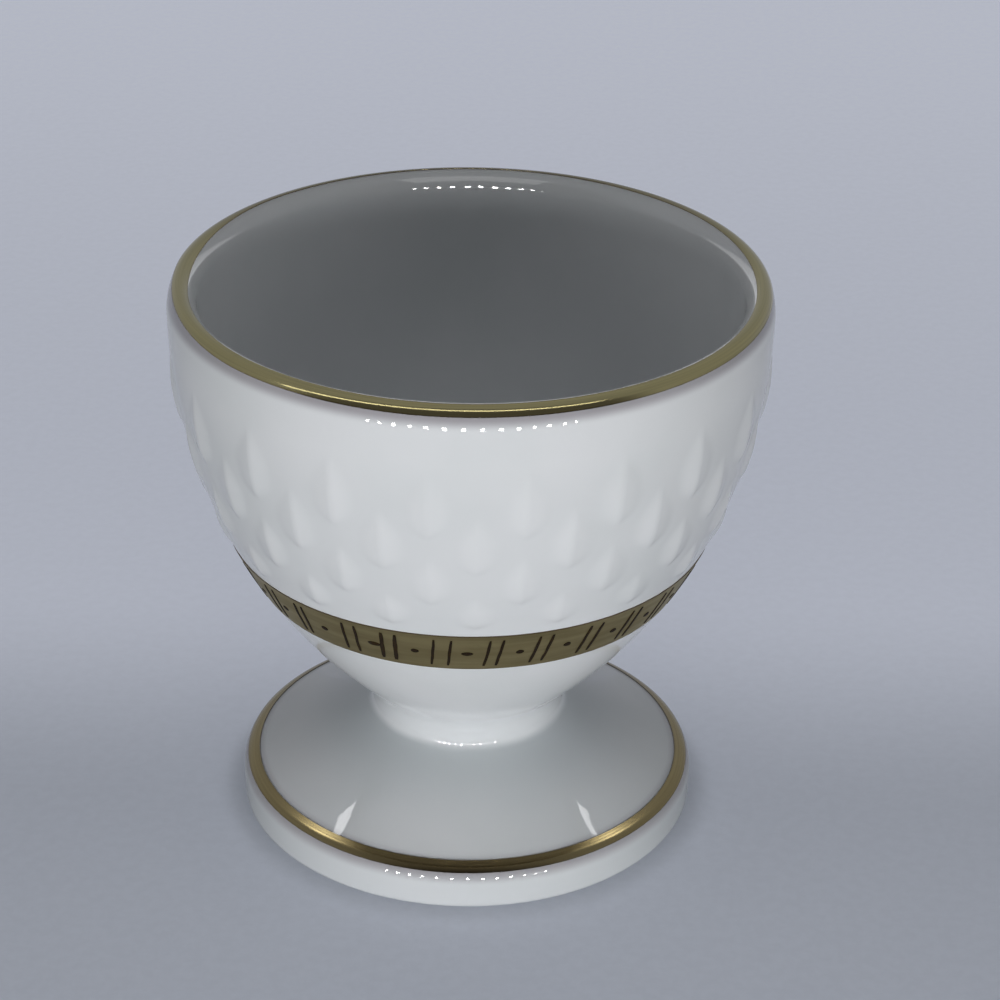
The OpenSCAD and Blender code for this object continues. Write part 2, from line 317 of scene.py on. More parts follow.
# thin places: patches where a film is thin or rubbed, as a mask
thinGroup, thinIn, thinOut = newGroup(
    "thinPlaces",
    [("Vector", "NodeSocketVector", None), ("Patch", "NodeSocketFloat", 300.0),
     ("From", "NodeSocketFloat", 0.55), ("To", "NodeSocketFloat", 0.8)],
    [("Mask", "NodeSocketFloat")],
)
thinNoise = newNode(thinGroup, "ShaderNodeTexNoise", Detail=4.0, Roughness=0.6)
thinGroup.links.new(thinIn.outputs["Vector"], thinNoise.inputs["Vector"])
thinGroup.links.new(thinIn.outputs["Patch"], thinNoise.inputs["Scale"])
thinRange = newNode(thinGroup, "ShaderNodeMapRange", interpolation_type="SMOOTHSTEP")
thinGroup.links.new(thinNoise.outputs[0], thinRange.inputs["Value"])
thinGroup.links.new(thinIn.outputs["From"], thinRange.inputs["From Min"])
thinGroup.links.new(thinIn.outputs["To"], thinRange.inputs["From Max"])
thinGroup.links.new(thinRange.outputs["Result"], thinOut.inputs["Mask"])


def newMaterial(name):
    material = bpy.data.materials.new(name)
    material.use_nodes = True
    tree = material.node_tree
    shader = [n for n in tree.nodes if n.type == "BSDF_PRINCIPLED"][0]
    coordinates = tree.nodes.new("ShaderNodeTexCoord").outputs["Object"]
    mapping = tree.nodes.new("ShaderNodeMapping")
    tree.links.new(coordinates, mapping.inputs["Vector"])
    return material, tree, shader, mapping.outputs[0]


def addBump(tree, shader, height, strength, distance):
    bump = newNode(tree, "ShaderNodeBump", Strength=strength, Distance=distance)
    tree.links.new(height, bump.inputs["Height"])
    for name in ("Normal", "Coat Normal"):
        tree.links.new(bump.outputs[0], shader.inputs[name])


# china: a matt body under a clear glaze
china = {
    "colour": (0.80, 0.82, 0.84),
    "cloudColour": (0.755, 0.785, 0.80),       # slow clouding in the body
    "cloudScale": 75.0,
    "cloudRange": (0.35, 0.7),
    "poolAndShadeColour": (0.54, 0.58, 0.60),          # painted shade in hollows and creases and on the foot, partly glaze pooled between the grains
    "goldSideShadeColour": (0.40, 0.385, 0.415),        # painted shade, lilac-tinted, beside the gold films
    "speckColour": (0.16, 0.13, 0.11),
    "speckDepth": 0.75,
    "bodyRoughness": 0.42,
    "bareRange": (0.00012, 0.0003),            # height under which the foot's ring is ground bare
    "bareRoughness": 0.4,                      # and rougher by this
    "glazeRoughness": 0.018,
    "glazeIor": 1.52,
    "rippleDepth": 0.00002,
}


def chinaMaterial(name):
    material, tree, shader, centred = newMaterial(name)
    clouds = newNode(tree, "ShaderNodeTexNoise", Scale=china["cloudScale"], Detail=3.0,
                     Roughness=0.5)
    tree.links.new(centred, clouds.inputs["Vector"])
    cloudy = rangeNode(tree, clouds.outputs[0], *china["cloudRange"])
    base = mixColour(tree, cloudy, china["colour"], china["cloudColour"])
    # painted shade from two vertex attributes, partly glaze pooled between the grains
    poolShade = newNode(tree, "ShaderNodeAttribute", attribute_name="poolAndShade")
    base = mixColour(tree, poolShade.outputs["Fac"], base, china["poolAndShadeColour"])
    # painted shade, lilac-tinted, beside the gold
    shadeBesideGold = newNode(tree, "ShaderNodeAttribute", attribute_name="goldSideShade")
    base = mixColour(tree, shadeBesideGold.outputs["Fac"], base, china["goldSideShadeColour"])
    specks = placeGroup(tree, speckGroup, centred, Spacing=120.0, Size=0.025)
    speckMask = mathNode(tree, "MULTIPLY", specks.outputs["Mask"], china["speckDepth"])
    base = mixColour(tree, speckMask, base, china["speckColour"])
    tree.links.new(base, shader.inputs["Base Color"])
    parts = newNode(tree, "ShaderNodeSeparateXYZ")
    tree.links.new(centred, parts.inputs[0])
    bare = rangeNode(tree, parts.outputs[2], *china["bareRange"], 1.0, 0.0)
    tree.links.new(mathNode(tree, "SUBTRACT", 1.0, bare), shader.inputs["Coat Weight"])
    rough = mathNode(tree, "MULTIPLY", bare, china["bareRoughness"])
    tree.links.new(mathNode(tree, "ADD", rough, china["bodyRoughness"]), shader.inputs["Roughness"])
    shader.inputs["Coat Roughness"].default_value = china["glazeRoughness"]
    shader.inputs["Coat IOR"].default_value = china["glazeIor"]
    shader.inputs["Specular IOR Level"].default_value = 0.0      # the glaze, not the body, shines
    ripple = placeGroup(tree, rippleGroup, centred, Swell=1.0, Peel=0.08)
    addBump(tree, shader, ripple.outputs["Height"], 1.0, china["rippleDepth"])
    return material


chinaGlazed = chinaMaterial("chinaGlazed")

# fired gold: bright and burnished on the lip and the foot, dull on the band
gold = {
    # each shadeColour is painted shade, laid on by the films' goldShade by direction round the cup
    "rim": {
        "colour": (0.40, 0.345, 0.168), "deepColour": (0.32, 0.28, 0.135),
        "edgeColour": (0.19, 0.15, 0.08), "shadeColour": (0.17, 0.157, 0.135),
        "roughness": 0.11, "dullRoughness": 0.20, "along": 60.0, "across": 6000.0,
    },
    "band": {
        "colour": (0.44, 0.355, 0.165), "deepColour": (0.36, 0.29, 0.13),
        "edgeColour": (0.15, 0.105, 0.055), "shadeColour": (0.26, 0.25, 0.20),
        "roughness": 0.42, "dullRoughness": 0.55, "along": 120.0, "across": 2600.0,
    },
    "foot": {
        "colour": (0.30, 0.24, 0.115), "deepColour": (0.23, 0.18, 0.085),
        "edgeColour": (0.15, 0.12, 0.07), "shadeColour": (0.085, 0.063, 0.030),
        "roughness": 0.16, "dullRoughness": 0.27, "along": 60.0, "across": 5000.0,
    },
}
goldWear = {
    "patch": 420.0,                            # places where the gold is rubbed thin
    "from": 0.62,
    "to": 0.78,
    "depth": 0.6,
    "toneRange": (0.3, 0.72),                  # of the streaks
    "polishRange": (0.25, 0.75),
    "streakStrength": 0.4,
    "streakDepth": 0.000006,
}


def goldMaterial(name, look):
    material, tree, shader, centred = newMaterial(name)
    streaks = placeGroup(tree, streakGroup, centred, Along=look["along"], Across=look["across"])
    bright = rangeNode(tree, streaks.outputs["Value"], *goldWear["toneRange"])
    tone = mixColour(tree, bright, look["deepColour"], look["colour"])
    thin = placeGroup(tree, thinGroup, centred, Patch=goldWear["patch"],
                      From=goldWear["from"], To=goldWear["to"])
    worn = mathNode(tree, "MULTIPLY", thin.outputs["Mask"], goldWear["depth"])
    tone = mixColour(tree, worn, tone, look["deepColour"])
    # painted shade: darker gold by direction round the cup
    shade = newNode(tree, "ShaderNodeAttribute", attribute_name="goldShade")
    tone = mixColour(tree, shade.outputs["Fac"], tone, look["shadeColour"])
    edge = newNode(tree, "ShaderNodeAttribute", attribute_name="goldEdge")
    tone = mixColour(tree, edge.outputs["Fac"], tone, look["edgeColour"])
    tree.links.new(tone, shader.inputs["Base Color"])
    shader.inputs["Metallic"].default_value = 1.0
    polish = rangeNode(tree, streaks.outputs["Value"], *goldWear["polishRange"],
                       look["dullRoughness"], look["roughness"])
    tree.links.new(polish, shader.inputs["Roughness"])
    addBump(tree, shader, streaks.outputs["Value"], goldWear["streakStrength"],
            goldWear["streakDepth"])
    return material


goldRim = goldMaterial("goldRim", gold["rim"])
goldBand = goldMaterial("goldBand", gold["band"])
goldFoot = goldMaterial("goldFoot", gold["foot"])

# the print's dark enamel
enamel = {
    "colour": (0.017, 0.009, 0.003),
    "thinColour": (0.045, 0.027, 0.010),       # where it is thin
    "thinPatch": 1400.0,
    "thinFrom": 0.5,
    "thinTo": 0.72,
    "thinDepth": 0.8,
    "roughness": 0.5,
    "thinRoughness": 0.7,
    "shine": 0.1,
    "rippleStrength": 0.5,
    "rippleDepth": 0.00001,
}


def enamelMaterial(name):
    material, tree, shader, centred = newMaterial(name)
    thin = placeGroup(tree, thinGroup, centred, Patch=enamel["thinPatch"],
                      From=enamel["thinFrom"], To=enamel["thinTo"])
    thinMask = mathNode(tree, "MULTIPLY", thin.outputs["Mask"], enamel["thinDepth"])
    tone = mixColour(tree, thinMask, enamel["colour"], enamel["thinColour"])
    tree.links.new(tone, shader.inputs["Base Color"])
    rough = rangeNode(tree, thin.outputs["Mask"], 0.0, 1.0, enamel["roughness"],
                      enamel["thinRoughness"])
    tree.links.new(rough, shader.inputs["Roughness"])
    shader.inputs["Specular IOR Level"].default_value = enamel["shine"]
    ripple = placeGroup(tree, rippleGroup, centred, Swell=0.2, Peel=1.0)
    addBump(tree, shader, ripple.outputs["Height"], enamel["rippleStrength"], enamel["rippleDepth"])
    return material


enamelPrint = enamelMaterial("enamelPrint")
print("egg cup: materials ready")

# bowl: its grains are raised in the mesh, and two vertex attributes paint shade on its glaze
bowl = {
    "grainCount": 20,
    "rowCentres": [40.95, 37.1, 33.25, 29.75],   # heights of the rows
    "grainLengths": [6.5, 6.05, 5.2, 3.64],
    "grainHeights": [0.28, 0.28, 0.26, 0.22],
    "grainWidth": 3.8,                           # at the widest ring, narrower as the bowl narrows
    "grainReach": 1.3,                           # half lengths within which a grain has run out
    "firstCrest": 11.1,                          # degrees from the front, rows one and three
    "soften": 0.16,                              # share of the height over which a foot runs out
    "upperFall": 0.3,                            # how much sooner a grain thins out upwards
    "spread": 0.20,                              # how much one grain's height differs from the next
    "startFall": 2.4,                            # degrees of the side's arc, the mesh is fine
    "endFall": 25.6,                             # between these two
    "poolLift": 0.15,                            # partly glaze pooled there, partly painted shade, where the embossing is lower
    "poolStart": 3.0,                            # degrees of the side's arc, it comes in
    "poolGrows": 5.0,                            # over so many more
    "poolStop": 25.5,
    "poolEnds": 3.0,
    # painted shade at the waist under the bowl
    "waistShade": 0.2,
    "waistReach": 16.0,
    "waistFade": (15.0, 10.0),                   # heights, none at the first and all at the second
    "shadeBesideGold": 0.95,                                # painted shade, lilac-tinted, on the glaze below the lip's gold
    "shadeBesideGoldReach": 24.0,
    "shadeBesideGoldFade": (47.6, 48.5),
    "onArc": 0.002,                              # tolerance by which a vertex is on the side's arc
}


def grainHeight(r, phi, fall):                   # height of the embossing over the side
    pitch = 360 / bowl["grainCount"]
    height = 0.0
    for row, rowHeight in enumerate(bowl["rowCentres"]):
        rowFall = degrees(asin((cup["widestHeight"] - rowHeight) / sideRadius))
        along = radians(fall - rowFall) * sideRadius / (bowl["grainLengths"][row] / 2)
        if abs(along) > bowl["grainReach"]:
            continue
        first = bowl["firstCrest"] + (pitch / 2 if row % 2 else 0)
        number = round((phi - first) / pitch)
        across = abs(radians(angleGap(phi, first + number * pitch)) * r)
        halfWidth = bowl["grainWidth"] / 2 * r / cup["bowlRadius"]
        if along > 0:
            crest = 1 - along ** 4               # full and round below
        else:
            crest = (1 - along * along) * (1 + bowl["upperFall"] * along)
        lift = crest - across / halfWidth
        soft = bowl["soften"]
        if lift > soft:
            share = lift
        elif lift > -soft:
            share = (lift + soft) ** 2 / (4 * soft)
        else:
            continue
        chance = noise.noise(Vector((number * 3.7 + 0.5, row * 5.3 + 0.5, 2.5)))
        vary = 1 + bowl["spread"] * chance
        height = max(height, bowl["grainHeights"][row] * vary * share)
    return height


# from the seam up the outside, over the lip and down the inside, the last numbers are mesh steps
bm = bmesh.new()
tip = startOutline(bm, 0, cup["seamHeight"])
tip = lineTo(bm, tip, cup["waistRadius"], cup["seamHeight"], 4)
tip = lineTo(bm, tip, cup["waistRadius"], filletCentre[1])
tip = arcTo(bm, tip, filletCentre, filletAngle, 14)
tip = arcTo(bm, tip, sideCentre, -filletAngle - bowl["endFall"], 22)
tip = arcTo(bm, tip, sideCentre, bowl["endFall"] - bowl["startFall"], 74)
tip = arcTo(bm, tip, sideCentre, bowl["startFall"], 4)
tip = arcTo(bm, tip, shoulderCentre, shoulderAngle, 12)
tip = arcTo(bm, tip, crestCentre, slopeAngle - shoulderAngle, 10)
tip = arcTo(bm, tip, slopeCentre, 180 - slopeAngle, 8)
tip = arcTo(bm, tip, cavityCentre, floorAngle, 26)
tip = arcTo(bm, tip, floorCentre, -(floorAngle + 90), 12)
tip.co.x = 0
closeRound(bm, cup["columns"])
poolShade = bm.verts.layers.float.new("poolAndShade")
shadeBesideGold = bm.verts.layers.float.new("goldSideShade")
for vert in bm.verts:
    r, z, phi = polar(vert.co)
    out = Vector((r - sideCentre[0], z - sideCentre[1]))
    fall = degrees(atan2(-out.y, out.x))
    onArc = abs(out.length - sideRadius) < bowl["onArc"]
    if onArc and bowl["startFall"] < fall < bowl["endFall"]:
        lift = grainHeight(r, phi, fall)
        fade = min(1, max(0, (fall - bowl["poolStart"]) / bowl["poolGrows"]),
                   (bowl["poolStop"] - fall) / bowl["poolEnds"])
        # partly glaze pooled, partly painted shade, between the grains
        vert[poolShade] = fade * max(0.0, bowl["poolLift"] - lift)
        out.normalize()
        vert.co = place(r + out.x * lift, z + out.y * lift, phi)
    elif r < bowl["waistReach"] and fall > bowl["endFall"]:
        # painted shade at the waist under the bowl
        vert[poolShade] = bowl["waistShade"] * smoothStep(z, *bowl["waistFade"])
    if r > bowl["shadeBesideGoldReach"]:
        # painted shade below the lip's gold
        vert[shadeBesideGold] = bowl["shadeBesideGold"] * smoothStep(z, *bowl["shadeBesideGoldFade"])
bowlPiece = finishPiece(bm, "bowlGlazed", "bowl", chinaGlazed)

# foot: a trumpet that is hollow from below and stands on a ring
foot = {
    "edgeHeight": 2.4,
    "edgeRadius": 1.5,
    "flareRadius": 80.0,       # of its top, which is nearly a straight cone
    "fillet": 1.1,
    "wall": 2.4,
    "crown": 2.0,              # china between the hollow and the bowl
    "ringWidth": 3.1,
    "ringRound": 0.6,
    "filletFrom": 1.2,         # the fillet's painted shade starts this far over the hollow
    "filletShade": 0.2,         # painted shade in the crease, and how much more where the fillet runs out
    "filletMore": 0.75,
    "filletFade": (9.1, 8.5),  # heights, as for the bowl
    "topFrom": 3.9,
    "topReach": 18.8,
    # painted shade on the foot's top
    "topShade": 0.95,
    "topFade": (4.5, 8.2),
    "topShadeBesideGold": 0.5,            # painted shade beside the gold line
    "topShadeBesideGoldFade": (17.9, 18.6),
    # painted shade on the foot's edge
    "edgeShade": 0.30,
    "edgeMore": 0.35,          # towards the sides
    "edgeShadeBesideGold": 0.85,
    "edgeShadeBesideGoldFade": (2.4, 3.4),
}
edgeCentre = (cup["footRadius"] - foot["edgeRadius"], foot["edgeHeight"])
footFilletCentre = (cup["waistRadius"] + foot["fillet"], cup["seamHeight"])
reachEdge = foot["edgeRadius"] + foot["flareRadius"]
reachFillet = foot["flareRadius"] - foot["fillet"]
between = Vector((footFilletCentre[0] - edgeCentre[0], footFilletCentre[1] - edgeCentre[1]))
nearLeg = (reachEdge ** 2 - reachFillet ** 2 + between.length ** 2) / (2 * between.length)
alongEdge = between.normalized()
sideStep = leg(reachEdge, nearLeg)
flareCentre = (
    edgeCentre[0] + nearLeg * alongEdge.x + sideStep * alongEdge.y,
    edgeCentre[1] + nearLeg * alongEdge.y - sideStep * alongEdge.x,
)
edgeAngle = heading(edgeCentre, flareCentre)
footFilletAngle = heading(flareCentre, footFilletCentre)
hollowRadius = cup["footRadius"] - foot["ringWidth"]
hollowSide = foot["flareRadius"] + foot["wall"]
hollowTop = cup["seamHeight"] - foot["crown"]
hollowFoot = (hollowRadius, flareCentre[1] - leg(hollowSide, flareCentre[0] - hollowRadius))
hollowHead = (flareCentre[0] - leg(hollowSide, flareCentre[1] - hollowTop), hollowTop)
headAngle = heading(flareCentre, hollowHead) % 360
footAngle = heading(flareCentre, hollowFoot) % 360
ringCorner = (cup["footRadius"] - foot["ringRound"], foot["ringRound"])

# from the hollow's crown down the inside, round the ring and up the outside to the seam
bm = bmesh.new()
tip = startOutline(bm, 0, hollowTop)
tip = lineTo(bm, tip, hollowHead[0], hollowHead[1], 6)
tip = arcTo(bm, tip, flareCentre, footAngle - headAngle, 20)
tip = lineTo(bm, tip, hollowRadius, 0, 3)
tip = lineTo(bm, tip, ringCorner[0], 0, 5)
tip = arcTo(bm, tip, ringCorner, 90, 6)
tip = lineTo(bm, tip, cup["footRadius"], foot["edgeHeight"], 4)
tip = arcTo(bm, tip, edgeCentre, edgeAngle, 14)
tip = arcTo(bm, tip, flareCentre, (footFilletAngle % 360) - (edgeAngle + 180), 40)
tip = arcTo(bm, tip, footFilletCentre, 180 - (footFilletAngle % 360), 14)
tip = lineTo(bm, tip, 0, cup["seamHeight"], 4)
closeRound(bm, cup["columns"] // 2)
poolShade = bm.verts.layers.float.new("poolAndShade")
shadeBesideGold = bm.verts.layers.float.new("goldSideShade")
filletEnd = onCircle(footFilletCentre, foot["fillet"], footFilletAngle)[0]
for vert in bm.verts:
    r, z, phi = polar(vert.co)
    if z > hollowTop + foot["filletFrom"] and r < filletEnd:
        # painted shade in the crease between stem and foot
        vert[poolShade] = foot["filletShade"] + foot["filletMore"] * smoothStep(z, *foot["filletFade"])
    elif r < foot["topReach"] and z > foot["topFrom"]:
        # painted shade on the foot's top
        vert[poolShade] = foot["topShade"] * smoothStep(z, *foot["topFade"])
        # painted shade beside the foot's gold line
        vert[shadeBesideGold] = foot["topShadeBesideGold"] * smoothStep(r, *foot["topShadeBesideGoldFade"])
    elif r > foot["topReach"]:
        # painted shade on the foot's edge, darker towards the sides
        vert[poolShade] = foot["edgeShade"] + foot["edgeMore"] * sin(radians(phi)) ** 2
        # painted shade on the edge below the gold line
        vert[shadeBesideGold] = foot["edgeShadeBesideGold"] * smoothStep(z, *foot["edgeShadeBesideGoldFade"])
footPiece = finishPiece(bm, "footGlazed", "foot", chinaGlazed)

# gold films: a thin ring is spun, then each of its vertices is laid on the cup's outline
ringStart = 20                                   # inner radius of that ring, which is 1 wide


def goldFilm(name, node, material, film, pointAt):
    bm = bmesh.new()
    tip = startOutline(bm, ringStart, 0)
    tip = lineTo(bm, tip, ringStart, film["thickness"])
    tip = lineTo(bm, tip, ringStart + 1, film["thickness"], film["rows"])
    tip = lineTo(bm, tip, ringStart + 1, 0)
    tip = lineTo(bm, tip, ringStart, 0, film["rows"])
    closeRound(bm, cup["columns"])
    edge = bm.verts.layers.float.new("goldEdge")
    shade = bm.verts.layers.float.new("goldShade")
    for vert in bm.verts:
        r, z, phi = polar(vert.co)
        share = 0.5 - 0.5 * cos(pi * min(1, max(0, r - ringStart)))   # rows crowd at both edges
        outer, inner = aroundCup(film["outerEdge"], phi), aroundCup(film["innerEdge"], phi)
        along = outer + (inner - outer) * share
        vert[edge] = max(0.0, 1 - min(along - outer, inner - along) / film["darkEdge"])
        # painted shade by direction round the cup
        vert[shade] = aroundCup(film["shade"], phi)
        vert.co = place(*pointAt(along, z), phi)
    bmesh.ops.recalc_face_normals(bm, faces=bm.faces[:])
    return finishPiece(bm, name, node, material)


# gold over the lip, measured from where the shoulder meets the crest, inwards
rimGold = {
    "thickness": 0.06,
    "rows": 22,
    "darkEdge": 0.10,
    "outerEdge": [-0.37, -0.33, -0.20, -0.15, -0.20, -0.05, 0.22, -0.30],
    "innerEdge": [0.74, 0.85, 1.40, 1.15, 0.95, 1.00, 1.65, 0.88],
    "shade": [0, 0, 0, 0.5, 0.8, 0.6, 0, 0],
}
crestLength = radians(slopeAngle - shoulderAngle) * cup["lipRadius"]


def onLip(along, lift):
    if along < 0:
        angle = shoulderAngle + degrees(along / cup["shoulderRadius"])
        return onCircle(shoulderCentre, cup["shoulderRadius"] + lift, angle)
    if along < crestLength:
        angle = shoulderAngle + degrees(along / cup["lipRadius"])
        return onCircle(crestCentre, cup["lipRadius"] + lift, angle)
    angle = slopeAngle + degrees((along - crestLength) / cup["slopeRadius"])
    return onCircle(slopeCentre, cup["slopeRadius"] + lift, angle)


rimPiece = goldFilm("rimGold", "rim_gilding", goldRim, rimGold, onLip)

# gold band, measured along the side from its middle, upwards
bandGold = {
    "thickness": 0.06,
    "rows": 18,
    "darkEdge": 0.12,
    "topHeight": 27.15,        # on the bowl's side
    "halfWidth": 2.5,
    "outerEdge": [-2.5, -2.49, -2.5, -2.52, -2.5, -2.48],
    "innerEdge": [2.5, 2.51, 2.49, 2.5, 2.52, 2.49],
    "shade": [0, 0, 0.6, 0.6, 0.6, 0.6, 0.9, 0],
}
bandTop = degrees(asin((cup["widestHeight"] - bandGold["topHeight"]) / sideRadius))
bandMiddle = bandTop + degrees(bandGold["halfWidth"] / sideRadius)


def onSide(along, lift):
    return onCircle(sideCentre, sideRadius + lift, -bandMiddle + degrees(along / sideRadius))


goldFilm("bandGold", "band_gilding", goldBand, bandGold, onSide)

# gold line round the foot, measured from where its edge meets its top, inwards
footGold = {
    "thickness": 0.06,
    "rows": 14,
    "darkEdge": 0.08,
    "outerEdge": [-0.70, -0.68, -0.69, -0.71, -0.70, -0.67],
    "innerEdge": [0.50, 0.49, 0.50, 0.30, 0.18, 0.30, 0.50, 0.50],
    "shade": [1.0, 0.15, 0, 0.3, 0.6, 0.3, 0, 0.15],
}


def onFoot(along, lift):
    if along < 0:
        angle = edgeAngle + degrees(along / foot["edgeRadius"])
        return onCircle(edgeCentre, foot["edgeRadius"] + lift, angle)
    angle = edgeAngle + 180 - degrees(along / foot["flareRadius"])
    return onCircle(flareCentre, foot["flareRadius"] - lift, angle)


footLinePiece = goldFilm("footGold", "foot_gilding", goldFoot, footGold, onFoot)

# printed strokes and dots on the gold band
printed = {
    "thickness": 0.04,
    "count": 30,
    "firstPair": 6.3,          # degrees from the front to the first pair's middle
    "frontPairs": [(-42.9, 2.3), (-28.4, 3.3), (-18.4, 3.3), (-5.7, 4.0),
                   (6.7, 3.0), (18.3, 3.1), (30.9, 3.1), (42.7, 2.7)],     # middle, gap
    "frontDots": [-49.5, -36.0, -22.1, -12.0, 0.5, 13.0, 24.8, 37.7, 49.0],
    "restGap": 3.1,
    "strokeLength": 3.8,
    "strokeWidth": 0.25,
    "joinWidth": 0.35,         # where the transfer's ends meet, its strokes are thick
    "joinPair": -18.4,
    "joinDot": -22.1,
    "lean": 6.0,
    "taper": 0.35,             # of a stroke at its ends
    "ragged": 0.18,            # of its sides
    "wander": 0.05,
    "bigDot": 0.5,
    "dotWidth": 0.68,
    "dotHeight": 0.56,
    "dotRagged": 0.12,
    "joinStretch": 1.8,
    "bigStretch": 1.4,
}
cellTurn = 360 / printed["count"]
pairs = list(printed["frontPairs"])
for cell in range(len(pairs) // 2, printed["count"] - len(pairs) // 2):
    pairs.append((printed["firstPair"] + cell * cellTurn, printed["restGap"]))
dots = list(printed["frontDots"])
for cell in range(len(dots) // 2 + 1, printed["count"] - len(dots) // 2):
    dots.append(printed["firstPair"] + (cell - 0.5) * cellTurn)


def onBand(across, along, lift, phi):            # round the band, up it and off its gold
    r, z = onSide(along, bandGold["thickness"] + lift)
    return place(r, z, phi + degrees(across / r))


lean = tan(radians(printed["lean"]))
bm = bmesh.new()
for number, (middle, gap) in enumerate(pairs):
    width = printed["joinWidth"] if middle == printed["joinPair"] else printed["strokeWidth"]
    for side in (-1, 1):
        made = bmesh.ops.create_cube(bm, size=1.0)["verts"]
        edges = {e for v in made for e in v.link_edges}
        upright = [e for e in edges if abs(e.verts[0].co.z - e.verts[1].co.z) > 0.5]
        bmesh.ops.subdivide_edges(bm, edges=upright, cuts=9, use_grid_fill=True)
        for v in [v for v in bm.verts if not v.tag]:
            v.tag = True
            along = v.co.z * printed["strokeLength"]
            seed = Vector((number * 2.1, side * 1.3, along * 0.9))
            narrow = 1 - printed["taper"] * (2 * abs(v.co.z)) ** 6
            thin = narrow * (1 + printed["ragged"] * noise.noise(seed * 1.7))
            across = v.co.x * width * thin + along * lean + printed["wander"] * noise.noise(seed)
            lift = (v.co.y + 0.5) * printed["thickness"]
            v.co = onBand(across, along, lift, middle + side * gap / 2)
bmesh.ops.recalc_face_normals(bm, faces=bm.faces[:])
finishPiece(bm, "strokePrint", "band_strokes", enamelPrint)

stretches = {
    printed["joinDot"]: printed["joinStretch"],
    printed["bigDot"]: printed["bigStretch"],
}
bm = bmesh.new()
for number, phi in enumerate(dots):
    made = bmesh.ops.create_cone(bm, cap_ends=True, segments=20, radius1=0.5, radius2=0.44,
                                 depth=1.0)["verts"]
    stretch = stretches.get(phi, 1.0)
    for v in made:
        seed = Vector((v.co.x * 2.5, v.co.y * 2.5, number * 3.1))
        rough = 1 + printed["dotRagged"] * noise.noise(seed)
        across = v.co.x * printed["dotWidth"] * stretch * rough
        along = v.co.y * printed["dotHeight"] * rough
        v.co = onBand(across, along, (v.co.z + 0.5) * printed["thickness"], phi)
bmesh.ops.recalc_face_normals(bm, faces=bm.faces[:])
finishPiece(bm, "dotPrint", "band_dots", enamelPrint)

# table top: it lights the cup with its colour and is itself seen by its glow, which is painted
# light
stage = {
    "floorColour": (0.50, 0.525, 0.582),      # what the table throws back on the cup
    "fibreShade": 0.95,                       # its darker fibres have this share of it
    "fibreScale": 900.0,
    "fibreRange": (0.3, 0.7),
    "nearGlow": (0.164, 0.177, 0.208),        # what is seen of it in front of the cup, darker: painted shade
    "farGlow": (0.300, 0.317, 0.370),         # behind it
    "lastGlow": (0.362, 0.380, 0.440),        # and far off
    "glowFrom": -0.006,                       # metres along Y, from the near to the far glow
    "glowTo": 0.034,
    "lastFrom": 0.04,                         # and on to the last
    "lastTo": 0.24,
    "shadeWidth": 0.0026,                     # of the painted contact shadow where the foot meets the table
    "shadeDepth": 0.42,
    "dimColour": (0.05, 0.052, 0.058),        # painted shade away from the cup, where lamps stand close to it
    "dimFrom": 0.23,
    "dimTo": 0.33,
    "roughness": 0.8,
    "shine": 0.1,
    "floorSize": 3.0,
}

material, tree, shader, centred = newMaterial("paperTable")
fibres = newNode(tree, "ShaderNodeTexNoise", Scale=stage["fibreScale"], Detail=3.0, Roughness=0.6)
tree.links.new(centred, fibres.inputs["Vector"])
fibreColour = tuple(c * stage["fibreShade"] for c in stage["floorColour"])
fibreMask = rangeNode(tree, fibres.outputs[0], *stage["fibreRange"])
paper = mixColour(tree, fibreMask, stage["floorColour"], fibreColour)
floorParts = newNode(tree, "ShaderNodeSeparateXYZ")
tree.links.new(centred, floorParts.inputs[0])
# painted shade: the glow is darker in front of the cup
depth = rangeNode(tree, floorParts.outputs[1], stage["glowFrom"], stage["glowTo"])
glow = mixColour(tree, depth, stage["nearGlow"], stage["farGlow"])
farther = rangeNode(tree, floorParts.outputs[1], stage["lastFrom"], stage["lastTo"])
tree.links.new(mixColour(tree, farther, glow, stage["lastGlow"]), shader.inputs["Emission Color"])
outwards = fromAxis(tree, floorParts)
# painted shade: darker table colour away from the cup
dim = rangeNode(tree, outwards, stage["dimFrom"], stage["dimTo"])
tree.links.new(mixColour(tree, dim, paper, stage["dimColour"]), shader.inputs["Base Color"])
footReach = cup["footRadius"] * mm
# painted contact shadow round the foot
shade = rangeNode(tree, outwards, footReach, footReach + stage["shadeWidth"],
                  1 - stage["shadeDepth"], 1.0)
shaded = mathNode(tree, "MULTIPLY", seenRays(tree), shade)
tree.links.new(shaded, shader.inputs["Emission Strength"])
shader.inputs["Roughness"].default_value = stage["roughness"]
shader.inputs["Specular IOR Level"].default_value = stage["shine"]
bm = bmesh.new()
bmesh.ops.create_grid(bm, x_segments=2, y_segments=2, size=stage["floorSize"] / 2)
mesh = bpy.data.meshes.new("tableTop")
bm.to_mesh(mesh)
bm.free()
mesh.materials.append(material)
tableTop = bpy.data.objects.new("tableTop", mesh)
bpy.context.scene.collection.objects.link(tableTop)

